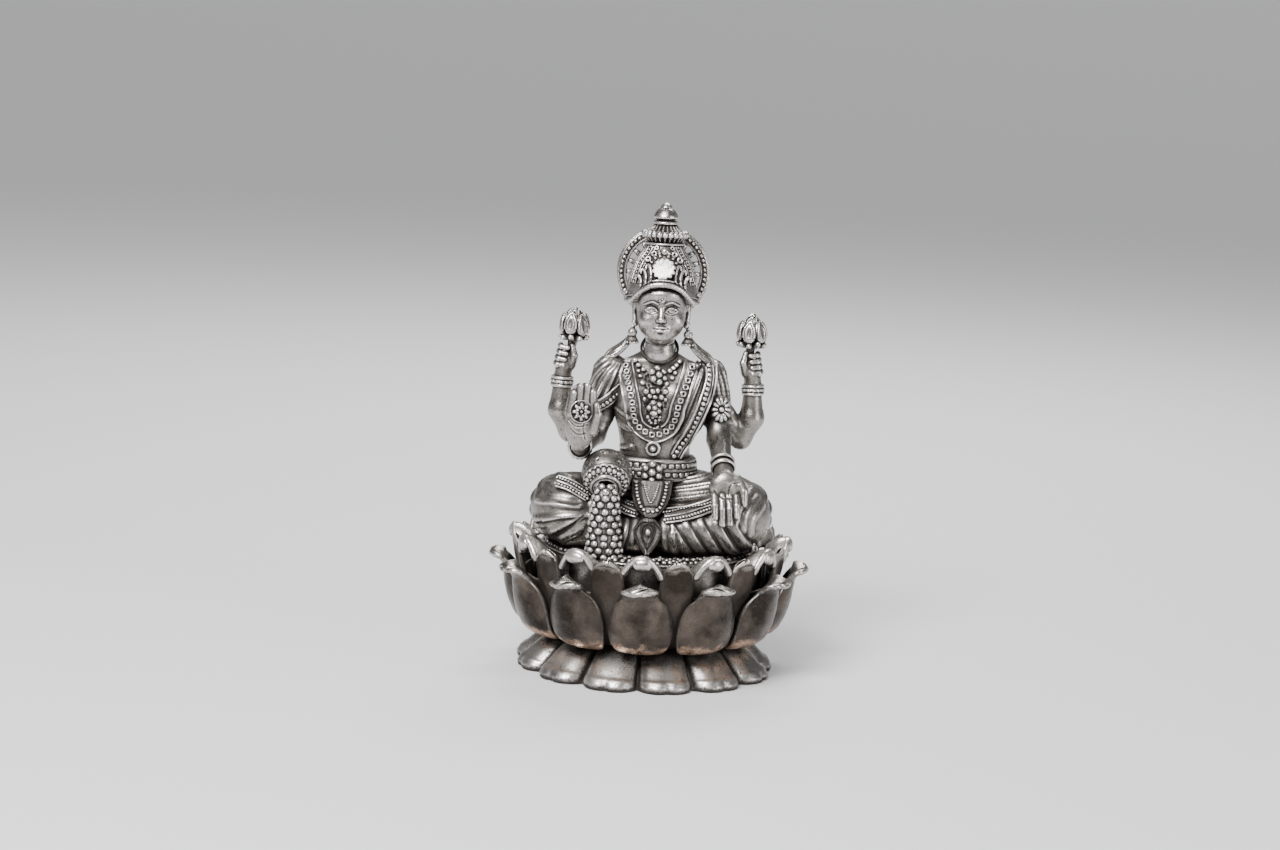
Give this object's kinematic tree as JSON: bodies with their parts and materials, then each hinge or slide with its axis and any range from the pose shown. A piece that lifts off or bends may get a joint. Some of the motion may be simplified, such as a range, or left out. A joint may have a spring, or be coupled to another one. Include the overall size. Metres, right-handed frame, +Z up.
{
  "type": "deity statuette",
  "caption": "Small seated four-armed deity statuette in antiqued silver on a double lotus base, with crown, halo, lotus buds and a coin pot.",
  "frame": {"origin": "middle of the footprint, on the surface that the statuette stands on", "axes": "+Z up, the figure faces -Y, +X towards the figure's left hand"},
  "size_m": [0.053, 0.053, 0.076],
  "materials": {
    "antique_silver": "cast silver plate with dark patina in the recesses, slightly grainy",
    "dark_silver": "darker warm brown patina over cast metal, smooth",
    "bright_silver": "worn bright silver with fine casting grain"
  },
  "bodies": {
    "root": {"apron": "bright_silver", "armlet_rosette": "bright_silver", "base_plate": "dark_silver", "base_skirt": "antique_silver", "belt_rosette": "bright_silver", "blessing_arm": "antique_silver", "blessing_bangle": "bright_silver", "chest_pendant": "bright_silver", "choker": "bright_silver", "coin_pot": "antique_silver", "coin_stream": "bright_silver", "crown": "bright_silver", "crown_finial": "bright_silver", "garland": "bright_silver", "garland_pendant": "bright_silver", "giving_arm": "antique_silver", "giving_bangle": "bright_silver", "halo": "antique_silver", "head": "bright_silver", "inner_petal_01": "dark_silver", "inner_petal_02": "dark_silver", "inner_petal_03": "dark_silver", "inner_petal_04": "dark_silver", "inner_petal_05": "dark_silver", "inner_petal_06": "dark_silver", "inner_petal_07": "dark_silver", "inner_petal_08": "dark_silver", "inner_petal_09": "dark_silver", "inner_petal_10": "dark_silver", "inner_petal_11": "dark_silver", "inner_petal_12": "dark_silver", "leaf_pendant": "bright_silver", "left_earring": "bright_silver", "left_lotus_bud": "bright_silver", "lotus_cup": "dark_silver", "outer_petal_01": "dark_silver", "outer_petal_02": "dark_silver", "outer_petal_03": "dark_silver", "outer_petal_04": "dark_silver", "outer_petal_05": "dark_silver", "outer_petal_06": "dark_silver", "outer_petal_07": "dark_silver", "outer_petal_08": "dark_silver", "outer_petal_09": "dark_silver", "outer_petal_10": "dark_silver", "outer_petal_11": "dark_silver", "outer_petal_12": "dark_silver", "rear_left_arm": "antique_silver", "rear_left_bangle": "bright_silver", "rear_right_arm": "antique_silver", "rear_right_bangle": "bright_silver", "right_earring": "bright_silver", "right_lotus_bud": "bright_silver", "sari_border": "antique_silver", "seated_legs": "antique_silver", "seed_pod": "antique_silver", "torso": "antique_silver", "waist_belt": "bright_silver"}
  },
  "joints": []
}
